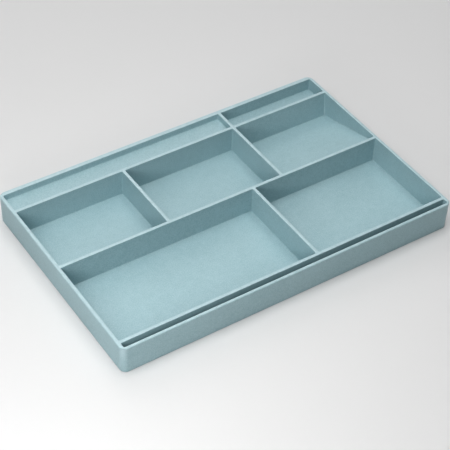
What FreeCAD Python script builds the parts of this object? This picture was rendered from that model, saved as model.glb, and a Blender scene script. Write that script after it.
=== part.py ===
"""Drawer organizer insert: a shallow moulded tray with fixed dividers.

Millimetres, +Z up.  X runs along the long side, Y from the front (ruler slot)
to the back, and the origin is the middle of the flat underside.

The tray is drawn once as a whole moulding (outer block, pockets, ramp, edge
rounding) and is then divided into its named members, so that neighbouring
members meet face to face with nothing missing and nothing shared twice.
"""
import FreeCAD, Part
import math
import os
import re
import Sketcher
from FreeCAD import Vector

doc = FreeCAD.newDocument("drawer_organizer_insert")

# ------------------------------------------------------------------ dimensions
# Plan positions are measured from the front left corner of the rim.
DRIVING = [
    ("tray_width", 326.0, "outside, left to right, at the rim"),
    ("tray_depth", 210.0, "outside, front to back, at the rim"),
    ("tray_height", 27.5, "underside to rim"),
    ("side_wall", 3.2, "left and right wall thickness"),
    ("back_wall", 4.6, "back wall thickness"),
    ("front_wall", 2.6, "front wall thickness"),
    ("divider", 3.0, "thickness of every divider"),
    ("floor_skin", 2.0, "thickness of the low floors"),
    ("slot_gap", 5.0, "clear width of the ruler slot"),
    ("middle_line", 105.0, "middle divider centre line, from the front"),
    ("rear_line", 182.6, "rear divider centre line, from the front"),
    ("left_cross_line", 106.8, "left cross divider centre line, from the left"),
    ("right_cross_line", 221.5, "right and rear cross divider centre line"),
    ("front_cross_line", 190.9, "front cross divider centre line"),
    ("shelf_drop", 6.0, "rim down to the rear left shelf"),
    ("rear_right_drop", 12.0, "rim down to the rear right floor"),
    ("ramp_drop", 5.5, "rim down to the high end of the ramp"),
    ("raised_skin", 2.2, "thickness of the raised floors"),
    ("ramp_toe", 12.0, "solid length at the low end of the ramp"),
    ("ramp_back_lean", 2.5, "how far the ramp bay's back wall leans in at its foot"),
    ("outer_corner", 6.0, "outer corner radius in plan"),
    ("inner_corner", 1.0, "compartment corner radius in plan"),
    ("slot_corner", 1.0, "ruler slot corner radius in plan"),
    ("side_draft", 1.2, "outer wall draft, degrees"),
    ("rim_round", 1.2, "rounding of the outer rim edge"),
    ("top_round", 0.5, "rounding of the divider tops and inner rim edge"),
    ("foot_round", 0.6, "rounding of the outer bottom edge"),
]
DERIVED = [
    ("left_face", "side_wall"),
    ("right_face", "tray_width - side_wall"),
    ("back_face", "tray_depth - back_wall"),
    ("slot_back", "front_wall + slot_gap"),
    ("slot_wall_back", "slot_back + divider"),
    ("middle_front", "middle_line - divider / 2"),
    ("middle_back", "middle_line + divider / 2"),
    ("rear_front", "rear_line - divider / 2"),
    ("rear_back", "rear_line + divider / 2"),
    ("left_cross_near", "left_cross_line - divider / 2"),
    ("left_cross_far", "left_cross_line + divider / 2"),
    ("right_cross_near", "right_cross_line - divider / 2"),
    ("right_cross_far", "right_cross_line + divider / 2"),
    ("front_cross_near", "front_cross_line - divider / 2"),
    ("front_cross_far", "front_cross_line + divider / 2"),
    ("shelf_top", "tray_height - shelf_drop"),
    ("rear_right_top", "tray_height - rear_right_drop"),
    ("ramp_high", "tray_height - ramp_drop"),
    ("ramp_run", "rear_front - middle_back"),
    ("ramp_slope", "(ramp_high - floor_skin) / ramp_run"),
    ("ramp_back_foot", "rear_front - ramp_back_lean"),
    ("ramp_low", "floor_skin + ramp_slope * ramp_back_lean"),
    ("ramp_foot_level", "ramp_low + ramp_slope * inner_corner"),
    ("half_width", "tray_width / 2"),
    ("half_depth", "tray_depth / 2"),
]

sheet = doc.addObject("Spreadsheet::Sheet", "Dimensions")
value = {}
for row, (alias, number, note) in enumerate(DRIVING, start=1):
    sheet.set("A%d" % row, alias)
    sheet.set("B%d" % row, str(number))
    sheet.setAlias("B%d" % row, alias)
    sheet.set("C%d" % row, note)
for row, (alias, formula) in enumerate(DERIVED, start=len(DRIVING) + 1):
    sheet.set("A%d" % row, alias)
    sheet.set("B%d" % row, "=" + formula)
    sheet.setAlias("B%d" % row, alias)
doc.recompute()
for alias in [name for name, *_ in DRIVING] + [name for name, _ in DERIVED]:
    value[alias] = float(sheet.get(alias))


def bind(obj, prop, expression):
    """Drive one property by the sheet; words are read as sheet aliases."""
    obj.setExpression(prop, re.sub(r"[a-z_]+", r"Dimensions.\g<0>", expression))


def amount(expression):
    """The present value of an expression written in sheet aliases."""
    return float(sheet.evalExpression(expression))


# --------------------------------------------------------------- sketch helpers
def plane(body, role):
    """One of the body's own origin planes."""
    return [f for f in body.Origin.OriginFeatures if f.Role == role][0]


def plan_sketch(body, name, height):
    """A sketch parallel to the underside, in tray plan coordinates."""
    sk = body.newObject("Sketcher::SketchObject", name)
    sk.AttachmentSupport = [(plane(body, "XY_Plane"), "")]
    sk.MapMode = "FlatFace"
    bind(sk, "AttachmentOffset.Base.x", "-half_width")
    bind(sk, "AttachmentOffset.Base.y", "-half_depth")
    bind(sk, "AttachmentOffset.Base.z", height)
    return sk


def side_sketch(body, name, x_face):
    """A sketch facing +X; its axes are the tray's Y and Z."""
    sk = body.newObject("Sketcher::SketchObject", name)
    sk.AttachmentSupport = [(plane(body, "YZ_Plane"), "")]
    sk.MapMode = "FlatFace"
    bind(sk, "AttachmentOffset.Base.x", "-half_depth")
    bind(sk, "AttachmentOffset.Base.z", x_face + " - half_width")
    return sk


def datum(sk, kind, expression, *refs):
    """A dimension constraint whose value comes from the sheet."""
    number = sk.addConstraint(Sketcher.Constraint(kind, *refs, amount(expression)))
    bind(sk, "Constraints[%d]" % number, expression)


def rectangle(sk, x0, x1, y0, y1, radius=None):
    """A rectangle between four sheet positions, with equal corner arcs."""
    a, b, c, d = (amount(v) for v in (x0, x1, y0, y1))
    r = value[radius] if radius else 0.0
    ends = [((a + r, c), (b - r, c)), ((b, c + r), (b, d - r)),
            ((b - r, d), (a + r, d)), ((a, d - r), (a, c + r))]
    for start, stop in ends:
        sk.addGeometry(Part.LineSegment(Vector(*start, 0), Vector(*stop, 0)), False)
    if radius:
        quarter = math.pi / 2
        centres = [(b - r, c + r), (b - r, d - r), (a + r, d - r), (a + r, c + r)]
        for k, centre in enumerate(centres):
            circle = Part.Circle(Vector(*centre, 0), Vector(0, 0, 1), r)
            arc = Part.ArcOfCircle(circle, (k - 1) * quarter, k * quarter)
            sk.addGeometry(arc, False)
        for k in range(4):
            arc = 4 + k
            sk.addConstraint(Sketcher.Constraint("Tangent", k, 2, arc, 1))
            sk.addConstraint(Sketcher.Constraint("Tangent", arc, 2, (k + 1) % 4, 1))
        for k in range(5, 8):
            sk.addConstraint(Sketcher.Constraint("Equal", 4, k))
        datum(sk, "Radius", radius, 4)
    else:
        for k in range(4):
            sk.addConstraint(Sketcher.Constraint("Coincident", k, 2, (k + 1) % 4, 1))
    for k, kind in enumerate(("Horizontal", "Vertical", "Horizontal", "Vertical")):
        sk.addConstraint(Sketcher.Constraint(kind, k))
    datum(sk, "DistanceY", y0, -1, 1, 0, 1)
    datum(sk, "DistanceX", x1, -1, 1, 1, 1)
    datum(sk, "DistanceY", y1, -1, 1, 2, 1)
    datum(sk, "DistanceX", x0, -1, 1, 3, 1)


def polygon(sk, corners):
    """A closed outline through corners given as pairs of sheet expressions."""
    points = [Vector(amount(u), amount(v), 0) for u, v in corners]
    count = len(points)
    for k in range(count):
        sk.addGeometry(Part.LineSegment(points[k], points[(k + 1) % count]), False)
    for k in range(count):
        sk.addConstraint(Sketcher.Constraint("Coincident", k, 2, (k + 1) % count, 1))
    for k, (u, v) in enumerate(corners):
        for kind, expression in (("DistanceX", u), ("DistanceY", v)):
            here = amount(expression)
            if abs(here) < 1e-9:
                axis = -2 if kind == "DistanceX" else -1
                sk.addConstraint(Sketcher.Constraint("PointOnObject", k, 1, axis))
                continue
            number = sk.addConstraint(Sketcher.Constraint(kind, -1, 1, k, 1, here))
            bind(sk, "Constraints[%d]" % number, expression)


def checked(feature, grew):
    """Recompute, and make sure the feature really added or removed plastic."""
    body = feature.getParentGeoFeatureGroup()
    before = feature.BaseFeature.Shape.Volume if feature.BaseFeature else 0.0
    body.Tip = feature
    doc.recompute()
    change = feature.Shape.Volume - before
    if (change > 0) != grew or abs(change) < 1.0:
        raise RuntimeError("%s changed the volume by %.2f" % (feature.Name, change))
    return feature


# ------------------------------------------------------------- whole moulding
moulding = doc.addObject("PartDesign::Body", "Moulding")


def outer_block():
    """The outside of the tray: rounded corners, walls leaning in to the foot."""
    sk = plan_sketch(moulding, "RimOutline", "tray_height")
    rectangle(sk, "0", "tray_width", "0", "tray_depth", "outer_corner")
    pad = moulding.newObject("PartDesign::Pad", "OuterBlock")
    pad.Profile = sk
    pad.Reversed = True
    bind(pad, "Length", "tray_height")
    bind(pad, "TaperAngle", "-side_draft")
    checked(pad, True)


def compartment(name, x0, x1, y0, y1, depth, radius="inner_corner"):
    """A flat-bottomed pocket opening at the rim."""
    sk = plan_sketch(moulding, name + "Outline", "tray_height")
    rectangle(sk, x0, x1, y0, y1, radius)
    pocket = moulding.newObject("PartDesign::Pocket", name)
    pocket.Profile = sk
    bind(pocket, "Length", depth)
    checked(pocket, False)


def underside_hollow(name, x0, x1, y0, y1, depth):
    """The open space below a raised floor, cut from the underside."""
    sk = plan_sketch(moulding, name + "Outline", "0")
    rectangle(sk, x0, x1, y0, y1)
    pocket = moulding.newObject("PartDesign::Pocket", name)
    pocket.Profile = sk
    pocket.Reversed = True
    bind(pocket, "Length", depth)
    checked(pocket, False)


def ramp_bay():
    """A bay with a sloping floor, low at the back, and a leaning back wall."""
    sk = side_sketch(moulding, "RampBayProfile", "right_cross_far")
    polygon(sk, [("middle_back", "tray_height"), ("middle_back", "ramp_high"),
                 ("ramp_back_foot", "ramp_low"), ("rear_front", "tray_height")])
    pocket = moulding.newObject("PartDesign::Pocket", "RampBay")
    pocket.Profile = sk
    pocket.Reversed = True
    bind(pocket, "Length", "right_face - right_cross_far")
    checked(pocket, False)
    names = []
    for number, edge in enumerate(pocket.Shape.Edges, start=1):
        box = edge.BoundBox
        x = box.Center.x + value["half_width"]
        y = box.Center.y + value["half_depth"]
        side = min(abs(x - value["right_cross_far"]), abs(x - value["right_face"]))
        upright = box.ZLength > box.YLength + box.XLength
        inside = value["middle_back"] - 0.1 < y < value["rear_front"] + 0.1
        if upright and inside and side < 0.01 and box.ZMin > value["floor_skin"]:
            names.append("Edge%d" % number)
    if len(names) != 4:
        raise RuntimeError("the ramp bay has %d upright corners" % len(names))
    fillet = moulding.newObject("PartDesign::Fillet", "RampBayCorners")
    fillet.Base = (pocket, names)
    bind(fillet, "Radius", "inner_corner")
    moulding.Tip = fillet
    doc.recompute()


def ramp_hollow():
    """The open space under the ramp, which keeps a solid toe at its low end."""
    sk = side_sketch(moulding, "RampHollowProfile", "right_cross_far")
    toe = "floor_skin + ramp_slope * ramp_toe - raised_skin"
    polygon(sk, [("middle_back", "0"), ("rear_front - ramp_toe", "0"),
                 ("rear_front - ramp_toe", toe),
                 ("middle_back", "ramp_high - raised_skin")])
    pocket = moulding.newObject("PartDesign::Pocket", "RampHollow")
    pocket.Profile = sk
    pocket.Reversed = True
    bind(pocket, "Length", "right_face - right_cross_far")
    checked(pocket, False)


def inside_plan(point, margin=0.05):
    """True within the inner faces of the outer walls."""
    x, y = point.x + value["half_width"], point.y + value["half_depth"]
    return (value["left_face"] - margin < x < value["right_face"] + margin
            and value["front_wall"] - margin < y < value["back_face"] + margin)


def round_edges(name, radius, level, inner):
    """Round every edge that lies flat at one level, inside or outside."""
    base = moulding.Tip
    z = value[level] if level else 0.0
    names = []
    for number, edge in enumerate(base.Shape.Edges, start=1):
        box = edge.BoundBox
        if abs(box.ZMin - z) > 1e-4 or abs(box.ZMax - z) > 1e-4:
            continue
        middle = edge.valueAt((edge.FirstParameter + edge.LastParameter) / 2)
        if inside_plan(middle) == inner:
            names.append("Edge%d" % number)
    fillet = moulding.newObject("PartDesign::Fillet", name)
    fillet.Base = (base, names)
    bind(fillet, "Radius", radius)
    checked(fillet, False)


outer_block()
low = "tray_height - floor_skin"
compartment("RulerSlot", "left_face", "right_face", "front_wall", "slot_back", low,
            "slot_corner")
compartment("PenBay", "left_face", "front_cross_near",
            "slot_wall_back", "middle_front", low)
compartment("NotesBay", "front_cross_far", "right_face",
            "slot_wall_back", "middle_front", low)
compartment("MiddleLeftBay", "left_face", "left_cross_near",
            "middle_back", "rear_front", low)
compartment("MiddleBay", "left_cross_far", "right_cross_near",
            "middle_back", "rear_front", low)
ramp_bay()
compartment("Shelf", "left_face", "right_cross_near",
            "rear_back", "back_face", "shelf_drop")
compartment("RearRightBay", "right_cross_far", "right_face",
            "rear_back", "back_face", "rear_right_drop")
ramp_hollow()
underside_hollow("ShelfHollow", "left_face", "right_cross_near",
                 "rear_back", "back_face", "shelf_top - raised_skin")
underside_hollow("RearRightHollow", "right_cross_far", "right_face",
                 "rear_back", "back_face", "rear_right_top - raised_skin")
round_edges("RimRounding", "rim_round", "tray_height", False)
round_edges("TopRounding", "top_round", "tray_height", True)
round_edges("FootRounding", "foot_round", None, False)
moulding.Label = "whole_moulding"


# ------------------------------------------------------------- named members
def block(name, x0, x1, y0, y1, z0, z1):
    """A box between sheet positions, used to pick out one member."""
    box = doc.addObject("Part::Box", name)
    bind(box, "Length", "(%s) - (%s)" % (x1, x0))
    bind(box, "Width", "(%s) - (%s)" % (y1, y0))
    bind(box, "Height", "(%s) - (%s)" % (z1, z0))
    bind(box, "Placement.Base.x", "(%s) - half_width" % x0)
    bind(box, "Placement.Base.y", "(%s) - half_depth" % y0)
    bind(box, "Placement.Base.z", z0)
    return box


def corner(name, x, x_side, y, y_side, level, radius="inner_corner"):
    """The block round one rounded inside corner, from a floor to the rim."""
    xs = (x, x + " + " + radius) if x_side > 0 else (x + " - " + radius, x)
    ys = (y, y + " + " + radius) if y_side > 0 else (y + " - " + radius, y)
    return block(name, xs[0], xs[1], ys[0], ys[1], level, "tray_height + 1")


def member(label, main, corners=(), more=()):
    """One named member: the plastic inside its blocks."""
    blocks = [block(label + "_main", *main)]
    for k, extent in enumerate(more):
        blocks.append(block("%s_more_%d" % (label, k), *extent))
    for k, spec in enumerate(corners):
        blocks.append(corner("%s_corner_%d" % (label, k), *spec))
    region = blocks[0]
    if len(blocks) > 1:
        region = doc.addObject("Part::MultiFuse", label + "_region")
        region.Shapes = blocks
    piece = doc.addObject("Part::MultiCommon", label)
    piece.Shapes = [moulding, region]
    piece.Label = label
    return piece


UP, DOWN = "floor_skin", "-1"
TOP = "tray_height + 1"
FOOT = "ramp_foot_level"
LEANING = ("right_cross_far", "right_face", "ramp_back_foot", "rear_front",
           "ramp_low", TOP)
members = [
    member("left_wall", ("-1", "left_face", "-1", "tray_depth + 1", DOWN, TOP)),
    member("right_wall", ("right_face", "tray_width + 1", "-1", "tray_depth + 1",
                          DOWN, TOP)),
    member("front_wall", ("left_face", "right_face", "-1", "front_wall", DOWN, TOP),
           [("left_face", 1, "front_wall", 1, UP, "slot_corner"),
            ("right_face", -1, "front_wall", 1, UP, "slot_corner")]),
    member("back_wall", ("left_face", "right_face", "back_face", "tray_depth + 1",
                         DOWN, TOP),
           [("left_face", 1, "back_face", -1, "shelf_top"),
            ("right_face", -1, "back_face", -1, "rear_right_top")]),
    member("ruler_slot_wall", ("left_face", "right_face", "slot_back",
                               "slot_wall_back", DOWN, TOP),
           [("left_face", 1, "slot_wall_back", 1, UP),
            ("right_face", -1, "slot_wall_back", 1, UP),
            ("left_face", 1, "slot_back", -1, UP, "slot_corner"),
            ("right_face", -1, "slot_back", -1, UP, "slot_corner")]),
    member("middle_divider", ("left_face", "right_face", "middle_front",
                              "middle_back", DOWN, TOP),
           [("left_face", 1, "middle_front", -1, UP),
            ("left_face", 1, "middle_back", 1, UP),
            ("right_face", -1, "middle_front", -1, UP),
            ("right_face", -1, "middle_back", 1, "ramp_high")]),
    member("rear_divider", ("left_face", "right_face", "rear_front", "rear_back",
                            DOWN, TOP),
           [("left_face", 1, "rear_front", -1, UP),
            ("left_face", 1, "rear_back", 1, "shelf_top"),
            ("right_cross_far", 1, "ramp_back_foot", -1, FOOT),
            ("right_face", -1, "ramp_back_foot", -1, FOOT),
            ("right_face", -1, "rear_back", 1, "rear_right_top")],
           [LEANING]),
    member("rear_cross_divider", ("right_cross_near", "right_cross_far",
                                  "rear_back", "back_face", DOWN, TOP),
           [("right_cross_near", -1, "rear_back", 1, "shelf_top"),
            ("right_cross_near", -1, "back_face", -1, "shelf_top"),
            ("right_cross_far", 1, "rear_back", 1, "rear_right_top"),
            ("right_cross_far", 1, "back_face", -1, "rear_right_top")]),
    member("left_cross_divider", ("left_cross_near", "left_cross_far",
                                  "middle_back", "rear_front", DOWN, TOP),
           [("left_cross_near", -1, "middle_back", 1, UP),
            ("left_cross_near", -1, "rear_front", -1, UP),
            ("left_cross_far", 1, "middle_back", 1, UP),
            ("left_cross_far", 1, "rear_front", -1, UP)]),
    member("right_cross_divider", ("right_cross_near", "right_cross_far",
                                   "middle_back", "rear_front", DOWN, TOP),
           [("right_cross_near", -1, "middle_back", 1, UP),
            ("right_cross_near", -1, "rear_front", -1, UP),
            ("right_cross_far", 1, "middle_back", 1, "ramp_high")]),
    member("front_cross_divider", ("front_cross_near", "front_cross_far",
                                   "slot_wall_back", "middle_front", DOWN, TOP),
           [("front_cross_near", -1, "slot_wall_back", 1, UP),
            ("front_cross_near", -1, "middle_front", -1, UP),
            ("front_cross_far", 1, "slot_wall_back", 1, UP),
            ("front_cross_far", 1, "middle_front", -1, UP)]),
    member("ruler_slot_floor", ("left_face", "right_face", "front_wall", "slot_back",
                                DOWN, UP)),
    member("pen_bay_floor", ("left_face", "front_cross_near", "slot_wall_back",
                             "middle_front", DOWN, UP)),
    member("notes_bay_floor", ("front_cross_far", "right_face", "slot_wall_back",
                               "middle_front", DOWN, UP)),
    member("middle_left_floor", ("left_face", "left_cross_near", "middle_back",
                                 "rear_front", DOWN, UP)),
    member("middle_floor", ("left_cross_far", "right_cross_near", "middle_back",
                            "rear_front", DOWN, UP)),
    member("shelf_floor", ("left_face", "right_cross_near", "rear_back",
                           "back_face", DOWN, "shelf_top")),
    member("rear_right_floor", ("right_cross_far", "right_face", "rear_back",
                                "back_face", DOWN, "rear_right_top")),
]


def ramp_member():
    """The sloping floor, as far as the foot of the leaning wall and under it."""
    label = "ramp_floor"
    space = block(label + "_main", "right_cross_far", "right_face",
                  "middle_back", "rear_front", DOWN, TOP)
    taken = doc.addObject("Part::MultiFuse", label + "_taken")
    taken.Shapes = [
        corner("%s_corner_%d" % (label, k), *spec) for k, spec in enumerate([
            ("right_cross_far", 1, "middle_back", 1, "ramp_high"),
            ("right_cross_far", 1, "ramp_back_foot", -1, FOOT),
            ("right_face", -1, "middle_back", 1, "ramp_high"),
            ("right_face", -1, "ramp_back_foot", -1, FOOT)])]
    taken.Shapes += [block(label + "_leaning", *LEANING)]
    region = doc.addObject("Part::Cut", label + "_region")
    region.Base, region.Tool = space, taken
    piece = doc.addObject("Part::MultiCommon", label)
    piece.Shapes = [moulding, region]
    piece.Label = label
    return piece


members.append(ramp_member())
doc.recompute()

# ------------------------------------------------------------ checks and files
for obj in doc.Objects:
    if "Invalid" in obj.State or "Error" in obj.State:
        raise RuntimeError("%s is in state %s" % (obj.Name, obj.State))
total = 0.0
for piece in members:
    shape = piece.Shape
    if shape.isNull() or not shape.isValid() or len(shape.Solids) != 1:
        raise RuntimeError("%s is not one valid solid" % piece.Label)
    total += shape.Volume
whole = moulding.Shape.Volume
if abs(total - whole) > 1e-4 * whole:
    raise RuntimeError("members add up to %.1f, moulding is %.1f" % (total, whole))

os.makedirs("parts", exist_ok=True)
for piece in members:
    piece.Shape.Solids[0].exportStep("parts/%s.step" % piece.Label)
print("wrote %d parts, %.0f mm3" % (len(members), total))
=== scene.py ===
"""Looks of the drawer organizer insert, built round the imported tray, in metres.

The tray is one injection moulding.  Its whole skin is drawn here once, with the
rounded rims, corner rounds, floor fillets and open underside, and is then split
into the same named members as the CAD model, so that every member is a closed
mesh of its own and the shading runs on over the places where they meet.
"""
import math

import bmesh
import bpy
from mathutils import Euler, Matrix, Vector


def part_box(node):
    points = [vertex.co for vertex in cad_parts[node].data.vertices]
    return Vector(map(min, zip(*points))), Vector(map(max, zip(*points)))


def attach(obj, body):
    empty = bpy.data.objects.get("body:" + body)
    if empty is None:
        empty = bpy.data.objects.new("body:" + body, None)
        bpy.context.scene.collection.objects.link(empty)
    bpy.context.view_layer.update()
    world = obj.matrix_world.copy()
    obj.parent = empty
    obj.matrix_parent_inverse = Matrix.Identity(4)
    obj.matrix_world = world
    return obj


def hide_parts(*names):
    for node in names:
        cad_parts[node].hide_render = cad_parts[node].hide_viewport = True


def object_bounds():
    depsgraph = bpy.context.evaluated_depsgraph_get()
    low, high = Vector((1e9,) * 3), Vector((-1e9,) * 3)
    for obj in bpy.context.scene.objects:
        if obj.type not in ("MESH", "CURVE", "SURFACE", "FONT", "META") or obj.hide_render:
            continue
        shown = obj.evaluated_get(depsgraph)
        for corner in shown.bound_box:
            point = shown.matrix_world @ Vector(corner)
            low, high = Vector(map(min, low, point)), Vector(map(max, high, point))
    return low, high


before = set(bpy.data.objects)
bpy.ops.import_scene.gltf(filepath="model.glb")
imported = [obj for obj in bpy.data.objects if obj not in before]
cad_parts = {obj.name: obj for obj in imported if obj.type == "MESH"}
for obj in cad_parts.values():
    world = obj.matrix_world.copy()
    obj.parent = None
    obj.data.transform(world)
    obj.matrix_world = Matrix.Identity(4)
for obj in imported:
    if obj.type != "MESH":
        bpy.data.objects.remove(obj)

BODY = "root"
MM = 0.001
cad_low, cad_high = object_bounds()

# The rounds and slopes of the moulding; its other sizes come from the frame.
OUTER_CORNER = 6.0 * MM             # upright corners of the tray
INNER_CORNER = 1.0 * MM             # upright corners of the bays
SLOT_CORNER = 1.0 * MM              # upright corners of the ruler slot
SIDE_DRAFT = math.radians(1.2)      # how far the outer walls lean from upright
RIM_ROUND = 1.2 * MM                # outer edge of the rim
TOP_ROUND = 0.5 * MM                # inner edge of the rim, and divider tops
FOOT_ROUND = 0.6 * MM               # outer edge of the underside
FLOOR_FILLET = 0.6 * MM             # between a floor and its walls
RAISED_SKIN = 2.2 * MM              # thickness of the raised floors
RAMP_TOE = 12.0 * MM                # solid stretch below the low end of the ramp
HOLLOW_CORNER = 1.2 * MM            # upright corners of the spaces underneath
HOLLOW_ROUND = 0.3 * MM             # edges of their mouths
HOLLOW_FILLET = 0.8 * MM            # between their ceilings and walls

CORNER_STEPS = 8        # facets round a quarter turn in plan
ROUND_STEPS = 6         # facets across a rounded edge or fillet
BEYOND = 5.0 * MM       # how far the dividing blocks reach past the tray
OVERLAP = 0.5 * MM      # how far a corner block reaches into its own wall
FLATNESS = math.radians(0.05)       # faces this close to one plane are joined
CUT_SHADE = 0.5         # a shade normal shorter than this is on a face made by a cut
GRID = 2.0 ** -24       # points are kept on this grid, so that faces meet exactly
UP = Vector((0, 0, 1))
# The faces of a block, by the numbers of its corners.
BLOCK_FACES = ((0, 2, 3, 1), (4, 5, 7, 6), (0, 1, 5, 4), (2, 6, 7, 3), (0, 4, 6, 2),
               (1, 3, 7, 5))

WEAR_AND_HIGHLIGHT_ATTRIBUTE = "wear_and_highlight"             # mesh attribute: how much each place is paled, by wear in use and by painted highlight on rims and corners
RIM_WEAR_AND_HIGHLIGHT = 0.6           # wear and painted highlight on the flat tops of the rims
CORNER_WEAR_AND_HIGHLIGHT = 0.6        # painted highlight, with some wear, on the upright outer corners

# The plastic: its colours, which are linear, and its gloss.
DEEP_TONE = (0.262, 0.416, 0.452, 1.0)
PALE_TONE = (0.382, 0.546, 0.586, 1.0)
# paler tone for wear, scratches and the painted highlight on rims and corners
WORN_AND_HIGHLIGHT_TONE = (0.53, 0.67, 0.71, 1.0)
ROUGHNESS = 0.42
PLASTIC_IOR = 1.5
SHEEN = 0.35            # specular level: the fine texture breaks up some of the gloss

# Sizes of its surface texture.
GRAIN = 1.0 * MM
GRAIN_DEPTH = 0.025 * MM
ORANGE_PEEL = 2.5 * MM
PEEL_DEPTH = 0.03 * MM
MOTTLE = 5.0 * MM
FLOW = 60.0 * MM
SCUFF_WIDTH = 0.25 * MM
SCUFF_LENGTH = 22.0 * MM
SCUFF_PATCH = 30.0 * MM
SCUFF_DEPTH = 0.01 * MM

# The noise behind each layer, and the values of it that become 0 and 1.
NOISE_ROUGHNESS = 0.55
FINE_DETAIL = 3.0
DETAIL = 2.0
SCUFF_DETAIL = 1.0
GRAIN_LIMITS = (0.3, 0.7)
MOTTLE_LIMITS = (0.25, 0.75)
SCUFF_LIMITS = (0.66, 0.74)
PATCH_LIMITS = (0.50, 0.62)
SCUFF_TILT = (0.3, 0.2)     # turns about x and y that keep scratches off the axes
SCUFF_TURNS = (0.5, -0.9)   # turns about z of the two sets of scratches

# How much each layer changes the tone, the wear and painted highlight, and the roughness.
MIDDLE_TONE = 0.5
TONE_SWING = {"grain": 0.8, "mottle": 0.3, "flow": 0.5}
# paling by wear and painted highlight where the mesh attribute marks it
WEAR_AND_HIGHLIGHT_PALING = 0.75
WEAR_AND_HIGHLIGHT_SWING = {"mottle": 0.5}
SCUFF_WEAR = 0.15
ROUGHNESS_SWING = {"mottle": 0.10, "flow": 0.08, "grain": 0.08}
SCUFF_ROUGHNESS = 0.10
RUB_POLISH = 0.08

# The studio.
FLOOR_HALF = 3.0
FLOOR_DROP = -0.2 * MM      # just under the tray, so that the two don't touch
FLOOR_TONE = (0.7, 0.7, 0.7, 1.0)
FLOOR_ROUGHNESS = 0.7
AIM = Vector((0, 0, 0))     # what the softboxes point at
SOFTBOXES = [               # name, place, side of the square, watts
    ("overhead_softbox", (0.0, 0.0, 2.4), 1.8, 33),
    ("left_softbox", (-0.4, -0.1, 0.7), 0.4, 2.2),
    ("low_left_softbox", (-0.40, -0.34, 0.24), 0.15, 0.8),
    ("right_softbox", (1.6, 0.0, 1.6), 1.2, 2.5),
    ("back_softbox", (0.4, 1.8, 1.7), 1.6, 16),
]
SKY_TONE = (1, 1, 1, 1)
SKY_STRENGTH = 0.04

# The camera: a long lens, placed and turned to see the tray as the photograph does.
SENSOR = 36.0
LENS = 115.16
SHIFT_X = -0.01286
SHIFT_Y = -0.00419
CAMERA_PLACE = (-0.5226, -0.75125, 0.84343)
CAMERA_TURN = (47.2745, -1.9561, -33.3425)      # degrees about x, y and z


# ------------------------------------------------------- plan, read off the frame
class Bay:
    """One compartment: its plan rectangle, floor and corner radius."""

    def __init__(self, floor, radius, west, east, south, north):
        low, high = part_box(floor)
        self.floor = floor
        self.rect = (low.x, high.x, low.y, high.y)
        self.level = high.z
        self.drop = 0.0
        self.lean = 0.0
        self.radius = radius
        self.corner_owner = {(-1, -1): west or south, (-1, 1): west or north,
                             (1, -1): east or south, (1, 1): east or north}

    def surface(self, y):
        """Floor height, which falls towards the back where the bay has a ramp."""
        front, back = self.rect[2:]
        return self.level - self.drop * (y - front) / (back - front)

    def foot(self):
        """Where the back wall meets the floor; it leans in by lean on the way down."""
        return self.rect[3] - self.lean

    def underside(self, y):
        """Height of the open space's ceiling below a raised floor."""
        return self.surface(y) - RAISED_SKIN

    def hollow(self):
        """Plan of the open space below a raised floor; a ramp keeps a solid toe."""
        left, right, front, back = self.rect
        return left, right, front, back - (RAMP_TOE if self.drop else 0.0)


BAYS = [
    Bay("ruler_slot_floor", SLOT_CORNER, None, None, "front_wall", "ruler_slot_wall"),
    Bay("pen_bay_floor", INNER_CORNER, None, "front_cross_divider",
        "ruler_slot_wall", "middle_divider"),
    Bay("notes_bay_floor", INNER_CORNER, "front_cross_divider", None,
        "ruler_slot_wall", "middle_divider"),
    Bay("middle_left_floor", INNER_CORNER, None, "left_cross_divider",
        "middle_divider", "rear_divider"),
    Bay("middle_floor", INNER_CORNER, "left_cross_divider", "right_cross_divider",
        "middle_divider", "rear_divider"),
    Bay("ramp_floor", INNER_CORNER, "right_cross_divider", None,
        "middle_divider", "rear_divider"),
    Bay("shelf_floor", INNER_CORNER, None, "rear_cross_divider",
        "rear_divider", "back_wall"),
    Bay("rear_right_floor", INNER_CORNER, "rear_cross_divider", None,
        "rear_divider", "back_wall"),
]
bay = {b.floor: b for b in BAYS}

# The ramp falls to the level of the low floors.  The wall behind it leans, and the rear
# divider, which has both of its corner rounds, begins one round in front of its foot.
ramp_bay = bay["ramp_floor"]
ramp_bay.drop = ramp_bay.level - bay["pen_bay_floor"].level
ramp_bay.lean = ramp_bay.rect[3] - INNER_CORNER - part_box("rear_divider")[0].y
ramp_bay.corner_owner[-1, 1] = "rear_divider"

RAISED = [bay[name] for name in ("shelf_floor", "rear_right_floor", "ramp_floor")]

rim_reach = RIM_ROUND * (math.tan(SIDE_DRAFT) + 1 / math.cos(SIDE_DRAFT) - 1)
OUTLINE = (cad_low.x - rim_reach, cad_high.x + rim_reach,
           cad_low.y - rim_reach, cad_high.y + rim_reach)
TOP = cad_high.z


# ---------------------------------------------------------------- skin of the tray
def snapped(x, y, z):
    """A point moved to the nearest grid point."""
    return Vector([round(v / GRID) * GRID for v in (x, y, z)])


def quarter(steps, start=0.0, stop=math.pi / 2):
    """Evenly spaced angles, a quarter turn unless told otherwise, ends included."""
    return [start + (stop - start) * k / steps for k in range(steps + 1)]


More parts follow.
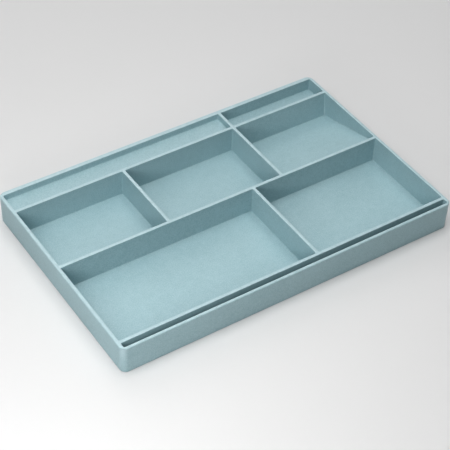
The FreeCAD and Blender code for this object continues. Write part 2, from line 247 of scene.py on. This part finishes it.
def ring(bm, rect, radius, grow, height, tilt=0.0):
    """New vertices round a rectangle with rounded corners, and where each one faces.

    The rectangle is grown by grow, and height is a function of x and y.  tilt is how
    far the back side leans from upright, as a slope.
    """
    x0, x1, y0, y1 = rect
    centres = ((x1 - radius, y1 - radius), (x0 + radius, y1 - radius),
               (x0 + radius, y0 + radius), (x1 - radius, y0 + radius))
    made = []
    for corner, (cx, cy) in enumerate(centres):
        start = corner * math.pi / 2
        for turn in quarter(CORNER_STEPS, start, start + math.pi / 2):
            out = Vector((math.cos(turn), math.sin(turn), 0))
            x = cx + (radius + grow) * out.x
            y = cy + (radius + grow) * out.y
            facing = out - tilt * max(out.y, 0.0) * UP
            made.append((bm.verts.new(snapped(x, y, height(x, y))), facing))
    return made


def skin(bm, shade, rings, slopes):
    """Faces between rings; slopes give each ring's normal as (outward, upward)."""
    count = len(rings[0])
    for k, (this, then) in enumerate(zip(rings, rings[1:])):
        for at in range(count):
            after = (at + 1) % count
            corners = [(this[at], slopes[k]), (this[after], slopes[k]),
                       (then[after], slopes[k + 1]), (then[at], slopes[k + 1])]
            face = bm.faces.new([vert for (vert, _), _ in corners])
            for loop, ((_, out), (outward, upward)) in zip(face.loops, corners):
                loop[shade] = outward * out + upward * UP


def flat(bm, shade, rings, normal):
    """One plane surface inside the first ring, with the other rings as holes."""
    outlines = [[vert for vert, _ in one] for one in rings]
    if len(rings) == 1:
        faces = [bm.faces.new(outlines[0])]
    else:
        edges = [bm.edges.get(pair) for line in outlines
                 for pair in zip(line, line[1:] + line[:1])]
        filled = bmesh.ops.triangle_fill(bm, edges=edges, use_beauty=True, normal=normal)
        faces = [g for g in filled["geom"] if isinstance(g, bmesh.types.BMFace)]
    for face in faces:
        for loop in face.loops:
            loop[shade] = normal


def outside(bm, shade):
    """The outer wall, from the foot to the rim; returns its two end rings."""
    profile = []
    for radius, centre, angles in (
            (FOOT_ROUND, FOOT_ROUND, quarter(ROUND_STEPS, -math.pi / 2, -SIDE_DRAFT)),
            (RIM_ROUND, TOP - RIM_ROUND, quarter(ROUND_STEPS, -SIDE_DRAFT))):
        inset = (TOP - centre) * math.tan(SIDE_DRAFT) + radius / math.cos(SIDE_DRAFT)
        for a in angles:
            profile.append((radius * math.cos(a) - inset, centre + radius * math.sin(a),
                            (math.cos(a), math.sin(a))))
    rings = [ring(bm, OUTLINE, OUTER_CORNER, grow, lambda x, y, z=z: z)
             for grow, z, _ in profile]
    skin(bm, shade, rings, [slope for _, _, slope in profile])
    return rings[0], rings[-1]


def pocket(bm, shade, rect, radius, mouth, floor, edge, fillet, side, lean=0.0):
    """A recess from the mouth level to its floor; side is 1 from above, -1 from below.

    floor is a function of x and y, and lean is how far the back side comes forward
    on its way to the floor.  Returns the ring round the mouth.
    """
    left, right, front, back = rect
    foot = floor(left, back - lean)
    tilt = lean / abs(mouth - foot)
    profile = []
    for a in quarter(ROUND_STEPS):
        grow = edge - edge * math.sin(a)
        level = mouth - side * edge * (1 - math.cos(a))
        profile.append((grow, level, lambda x, y, z=level: z,
                        (-math.sin(a), side * math.cos(a))))
    for a in quarter(ROUND_STEPS):
        rise = side * fillet * (1 - math.sin(a))
        profile.append((fillet * math.cos(a) - fillet, foot + rise,
                        lambda x, y, rise=rise: floor(x, y) + rise,
                        (-math.cos(a), side * math.sin(a))))
    rings = [ring(bm, (left, right, front, back - tilt * abs(mouth - level)), radius,
                  grow, height, tilt) for grow, level, height, _ in profile]
    skin(bm, shade, rings, [slope for *_, slope in profile])
    # The first points of three corners give the slope of the floor.
    a, b, c = (rings[-1][k * (CORNER_STEPS + 1)][0].co for k in range(3))
    normal = (b - a).cross(c - b).normalized()
    flat(bm, shade, [rings[-1]], normal if normal.z * side > 0 else -normal)
    return rings[0]


def moulding():
    """The whole tray as one closed mesh that knows its smooth normals."""
    bm = bmesh.new()
    shade = bm.loops.layers.float_vector.new("shade")
    foot, rim = outside(bm, shade)
    mouths = [pocket(bm, shade, b.rect, b.radius, TOP, lambda x, y, b=b: b.surface(y),
                     TOP_ROUND, FLOOR_FILLET, 1, b.lean) for b in BAYS]
    flat(bm, shade, [rim] + mouths, UP)
    hollows = [pocket(bm, shade, b.hollow(), HOLLOW_CORNER, 0.0,
                      lambda x, y, b=b: b.underside(y), HOLLOW_ROUND, HOLLOW_FILLET, -1)
               for b in RAISED]
    flat(bm, shade, [foot] + hollows, -UP)
    bmesh.ops.recalc_face_normals(bm, faces=bm.faces)
    mesh = bpy.data.meshes.new("moulding")
    bm.to_mesh(mesh)
    bm.free()
    return mesh


# ------------------------------------------------------------- named members
def between(x0, x1, y0, y1, z0=-BEYOND, z1=TOP + BEYOND):
    """A block used to pick out one member."""
    mesh = bpy.data.meshes.new("block")
    bm = bmesh.new()
    verts = [bm.verts.new(snapped(x, y, z)) for z in (z0, z1) for y in (y0, y1)
             for x in (x0, x1)]
    for face in BLOCK_FACES:
        bm.faces.new([verts[k] for k in face])
    bm.to_mesh(mesh)
    bm.free()
    obj = bpy.data.objects.new("block", mesh)
    bpy.context.scene.collection.objects.link(obj)
    return obj


def corner_blocks(b, owner, overlap=OVERLAP):
    """Blocks round those corners of one bay that belong to owner, or all if None."""
    blocks = []
    for x_side, y_side in ((-1, -1), (-1, 1), (1, -1), (1, 1)):
        name = b.corner_owner[x_side, y_side]
        if owner not in (None, name):
            continue
        across = name.endswith("cross_divider")
        upper = (*b.rect[:3], b.foot())
        spots = [(upper, b.radius, max, b.surface, TOP + BEYOND)]
        if b in RAISED and not (b.drop and y_side > 0):
            spots.append((b.hollow(), HOLLOW_CORNER, min, b.underside, -BEYOND))
        for rect, radius, pick, level, far in spots:
            x = rect[0] if x_side < 0 else rect[1]
            y = rect[2] if y_side < 0 else rect[3]
            near = pick(level(y), level(y - y_side * radius))
            x_reach = overlap if across else 0.0
            y_reach = 0.0 if across else overlap
            xs = sorted((x + x_side * x_reach, x - x_side * radius))
            ys = sorted((y + y_side * y_reach, y - y_side * radius))
            blocks.append(between(*xs, *ys, *sorted((near, far))))
    return blocks


def leaning_blocks(b, overlap=OVERLAP):
    """The block round a leaning back wall, down to its foot, if the bay has one."""
    if not b.lean:
        return []
    left, right, _, back = b.rect
    return [between(left, right, b.foot(), back + overlap, b.surface(b.foot()))]


def member_blocks():
    """For each CAD node, its main block and the other blocks added or taken."""
    slot, pen, notes, middle_left, middle, ramp, shelf, rear_right = (b.rect for b in BAYS)
    left, right = slot[:2]
    west, east = OUTLINE[0] - BEYOND, OUTLINE[1] + BEYOND
    south, north = OUTLINE[2] - BEYOND, OUTLINE[3] + BEYOND
    mains = {
        "left_wall": (west, left, south, north),
        "right_wall": (right, east, south, north),
        "front_wall": (left, right, south, slot[2]),
        "back_wall": (left, right, shelf[3], north),
        "ruler_slot_wall": (left, right, slot[3], pen[2]),
        "middle_divider": (left, right, pen[3], middle[2]),
        "rear_divider": (left, right, middle[3], shelf[2]),
        "front_cross_divider": (pen[1], notes[0], pen[2], pen[3]),
        "left_cross_divider": (middle_left[1], middle[0], middle[2], middle[3]),
        "right_cross_divider": (middle[1], ramp[0], middle[2], middle[3]),
        "rear_cross_divider": (shelf[1], rear_right[0], shelf[2], shelf[3]),
    }
    for name, main in mains.items():
        blocks = [k for b in BAYS for k in corner_blocks(b, name)]
        if name == "rear_divider":
            blocks += leaning_blocks(ramp_bay)
        yield name, between(*main), "UNION", blocks
    for b in BAYS:
        blocks = corner_blocks(b, None, BEYOND) + leaning_blocks(b, BEYOND)
        yield b.floor, between(*b.rect), "DIFFERENCE", blocks


def combine(obj, operation, tool):
    """A boolean modifier on obj."""
    mod = obj.modifiers.new(operation.lower(), "BOOLEAN")
    mod.operation = operation
    mod.solver = "MANIFOLD"
    mod.object = tool


def members(whole):
    """The moulding split into closed meshes, one for each CAD node."""
    pieces = {}
    for name, main, operation, blocks in member_blocks():
        for block in blocks:
            combine(main, operation, block)
        part = bpy.data.objects.new("moulded_" + name, whole.copy())
        bpy.context.scene.collection.objects.link(part)
        combine(part, "INTERSECT", main)
        graph = bpy.context.evaluated_depsgraph_get()
        mesh = bpy.data.meshes.new_from_object(part.evaluated_get(graph),
                                               preserve_all_data_layers=True,
                                               depsgraph=graph)
        part.modifiers.clear()
        part.data = mesh
        for block in blocks + [main]:
            bpy.data.objects.remove(block)
        pieces[name] = part
    return pieces


def wear_and_highlight_amount(point, normal):
    """How much a place is paled, by wear in use and by painted highlight: most on the
    rims, not at all on flat walls.
    """
    # Rim tops: paler for wear, and a painted highlight that makes them brighter than the
    # floors.
    if point.z > TOP - RIM_ROUND and normal.z > 0:
        return RIM_WEAR_AND_HIGHLIGHT * normal.z
    if point.z < FOOT_ROUND and normal.z < 0:
        return -normal.z * math.hypot(normal.x, normal.y)
    # Upright outer corners: a painted highlight band, with some wear.
    on_corner = max(abs(point.x) - OUTLINE[1], abs(point.y) - OUTLINE[3]) > -OUTER_CORNER
    # Twice the product is 1 where the wall faces half way between two sides.
    return 2 * CORNER_WEAR_AND_HIGHLIGHT * abs(normal.x * normal.y) if on_corner else 0.0


def finished(mesh, material):
    """Cleans the flat surfaces, and gives the mesh its smooth normals and material."""
    bm = bmesh.new()
    bm.from_mesh(mesh)
    shade = bm.loops.layers.float_vector["shade"]
    wear_and_highlight = bm.loops.layers.float.new(WEAR_AND_HIGHLIGHT_ATTRIBUTE)
    for face in bm.faces:
        face.smooth = True
        face.material_index = 0
        for loop in face.loops:
            if loop[shade].length < CUT_SHADE:
                loop[shade] = face.normal
            # Wear and painted highlight, kept on each corner of each face for the
            # material.
            loop[wear_and_highlight] = wear_and_highlight_amount(loop.vert.co, loop[shade].normalized())
    bmesh.ops.dissolve_limit(bm, angle_limit=FLATNESS, verts=bm.verts, edges=bm.edges,
                             use_dissolve_boundaries=False)
    bm.to_mesh(mesh)
    bm.free()
    normals = [loop.vector.normalized() for loop in mesh.attributes["shade"].data]
    mesh.normals_split_custom_set(normals)
    mesh.attributes.remove(mesh.attributes["shade"])
    mesh.materials.clear()
    mesh.materials.append(material)


# ------------------------------------------------------------------- material
def fill(tree, node, values):
    """Fill in a node's inputs: with a link where the value is a socket."""
    for key, value in values.items():
        if isinstance(value, bpy.types.NodeSocket):
            tree.links.new(value, node.inputs[key])
        else:
            node.inputs[key].default_value = value


def add(tree, kind, values, **settings):
    """A new shader node with its settings made and its inputs filled in."""
    made = tree.nodes.new(kind)
    for key, setting in settings.items():
        setattr(made, key, setting)
    fill(tree, made, values)
    return made


def maths(tree, operation, *terms):
    """A sum, product and so on; terms are sockets or numbers."""
    made = add(tree, "ShaderNodeMath", dict(enumerate(terms)), operation=operation)
    return made.outputs["Value"]


def mixed(tree, share, first, second):
    """A colour on the way from the first to the second, which are colours or sockets."""
    made = add(tree, "ShaderNodeMix", {"Factor": share, "A": first, "B": second},
               data_type="RGBA")
    return made.outputs["Result"]


def noise(tree, place, size, detail=DETAIL):
    """Noise from 0 to 1 whose blotches are about size across."""
    made = add(tree, "ShaderNodeTexNoise", {"Vector": place, "Scale": 1 / size,
                                            "Detail": detail,
                                            "Roughness": NOISE_ROUGHNESS})
    return made.outputs["Fac"]


def between_limits(tree, value, low, high):
    """value as 0 at low and 1 at high, held to that range."""
    made = add(tree, "ShaderNodeMapRange", {"Value": value, "From Min": low,
                                            "From Max": high})
    return made.outputs["Result"]


def swing(tree, base, layers, amounts):
    """base, which each layer named in amounts swings up and down by half its amount."""
    total = base
    for name, amount in amounts.items():
        part = maths(tree, "MULTIPLY_ADD", layers[name], amount, -amount / 2)
        total = maths(tree, "ADD", part, total)
    return total


def bump(tree, height, depth, normal=None, invert=False):
    """The normal of a relief, laid over another normal where one is given."""
    values = {"Strength": 1.0, "Distance": depth, "Height": height}
    if normal is not None:
        values["Normal"] = normal
    return add(tree, "ShaderNodeBump", values, invert=invert).outputs["Normal"]


def scuffs(tree, place, turn):
    """Faint hair scratches that run one way, in patches."""
    stretched = add(tree, "ShaderNodeMapping", {
        "Vector": place, "Rotation": (*SCUFF_TILT, turn),
        "Scale": (1 / SCUFF_WIDTH, 1 / SCUFF_LENGTH, 1 / SCUFF_WIDTH)})
    lines = noise(tree, stretched.outputs["Vector"], 1.0, SCUFF_DETAIL)
    patches = noise(tree, place, SCUFF_PATCH, SCUFF_DETAIL)
    return maths(tree, "MULTIPLY", between_limits(tree, lines, *SCUFF_LIMITS),
                 between_limits(tree, patches, *PATCH_LIMITS))


def texture(tree):
    """The layers that colour, roughness and relief share, each from 0 to 1."""
    place = add(tree, "ShaderNodeTexCoord", {}).outputs["Object"]
    grain = noise(tree, place, GRAIN, FINE_DETAIL)
    mottle = noise(tree, place, MOTTLE, FINE_DETAIL)
    scratches = [scuffs(tree, place, turn) for turn in SCUFF_TURNS]
    return {
        # Wear and painted highlight on rims and corners, from the mesh attribute.
        "wear_and_highlight": add(tree, "ShaderNodeAttribute", {}, attribute_name=WEAR_AND_HIGHLIGHT_ATTRIBUTE).outputs["Fac"],
        "grain": between_limits(tree, grain, *GRAIN_LIMITS),
        "peel": noise(tree, place, ORANGE_PEEL),
        "mottle": between_limits(tree, mottle, *MOTTLE_LIMITS),
        "flow": noise(tree, place, FLOW),
        "scratches": maths(tree, "MAXIMUM", *scratches),
    }


def base_colour(tree, layers):
    """Two tones of grey-blue, paler where the tray is worn or scratched, and where a
    highlight is painted on rims and corners.
    """
    tone = swing(tree, MIDDLE_TONE, layers, TONE_SWING)
    # Paler for wear, and for the painted highlight on rims and corners.
    worn_and_highlit = maths(tree, "MULTIPLY", layers["wear_and_highlight"], swing(tree, WEAR_AND_HIGHLIGHT_PALING, layers, WEAR_AND_HIGHLIGHT_SWING))
    scratched = maths(tree, "MULTIPLY", layers["scratches"], SCUFF_WEAR)
    return mixed(tree, maths(tree, "ADD", worn_and_highlit, scratched),
                 mixed(tree, tone, DEEP_TONE, PALE_TONE), WORN_AND_HIGHLIGHT_TONE)


def roughness(tree, layers):
    """Uneven satin, duller along the scratches and smoother where it is rubbed."""
    rough = swing(tree, ROUGHNESS, layers, ROUGHNESS_SWING)
    duller = maths(tree, "MULTIPLY", layers["scratches"], SCUFF_ROUGHNESS)
    smoother = maths(tree, "MULTIPLY", layers["wear_and_highlight"], RUB_POLISH)
    return maths(tree, "SUBTRACT", maths(tree, "ADD", rough, duller), smoother)


def relief(tree, layers):
    """Grain, orange peel over it, and the scratches cut into both."""
    normal = bump(tree, layers["grain"], GRAIN_DEPTH)
    normal = bump(tree, layers["peel"], PEEL_DEPTH, normal)
    return bump(tree, layers["scratches"], SCUFF_DEPTH, normal, invert=True)


def principled(name):
    """A new material, its node tree and its main shader."""
    mat = bpy.data.materials.new(name)
    mat.use_nodes = True
    return mat, mat.node_tree, mat.node_tree.nodes["Principled BSDF"]


def moulded_plastic():
    """Satin grey-blue moulded plastic: fine texture, flow marks, worn edges paled with
    painted highlight.
    """
    mat, tree, shader = principled("satin_moulded_plastic")
    layers = texture(tree)
    fill(tree, shader, {"IOR": PLASTIC_IOR, "Specular IOR Level": SHEEN,
                        "Base Color": base_colour(tree, layers),
                        "Roughness": roughness(tree, layers),
                        "Normal": relief(tree, layers)})
    return mat


# ------------------------------------------------------------------------ studio
def floor():
    """A plain pale floor under the tray."""
    mesh = bpy.data.meshes.new("studio_floor")
    corners = [(x * FLOOR_HALF, y * FLOOR_HALF, FLOOR_DROP)
               for x, y in ((-1, -1), (1, -1), (1, 1), (-1, 1))]
    mesh.from_pydata(corners, [], [(0, 1, 2, 3)])
    obj = bpy.data.objects.new("studio_floor", mesh)
    bpy.context.scene.collection.objects.link(obj)
    mat, tree, shader = principled("pale_floor")
    fill(tree, shader, {"Base Color": FLOOR_TONE, "Roughness": FLOOR_ROUGHNESS})
    mesh.materials.append(mat)


def softbox(name, place, size, watts):
    """A square light that points at the tray."""
    data = bpy.data.lights.new(name, "AREA")
    data.shape = "SQUARE"
    data.size = size
    data.energy = watts
    obj = bpy.data.objects.new(name, data)
    obj.location = place
    obj.rotation_euler = (AIM - Vector(place)).to_track_quat("-Z", "Y").to_euler()
    bpy.context.scene.collection.objects.link(obj)


def sky():
    """A little light from all round."""
    world = bpy.data.worlds.new("studio")
    world.use_nodes = True
    tree = world.node_tree
    fill(tree, tree.nodes["Background"], {"Color": SKY_TONE, "Strength": SKY_STRENGTH})
    bpy.context.scene.world = world


def camera():
    """The viewing angle: from the front left, looking down on the tray."""
    data = bpy.data.cameras.new("camera")
    data.sensor_width = SENSOR
    data.lens = LENS
    data.shift_x = SHIFT_X
    data.shift_y = SHIFT_Y
    obj = bpy.data.objects.new("camera", data)
    obj.location = CAMERA_PLACE
    obj.rotation_euler = Euler([math.radians(turn) for turn in CAMERA_TURN])
    bpy.context.scene.collection.objects.link(obj)
    bpy.context.scene.camera = obj


# ------------------------------------------------------------------------ scene
plastic = moulded_plastic()
for node_name, piece in members(moulding()).items():
    finished(piece.data, plastic)
    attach(piece, BODY)
    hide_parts(node_name)

floor()
camera()
for box in SOFTBOXES:
    softbox(*box)
sky()
bpy.context.scene.view_settings.view_transform = "Standard"
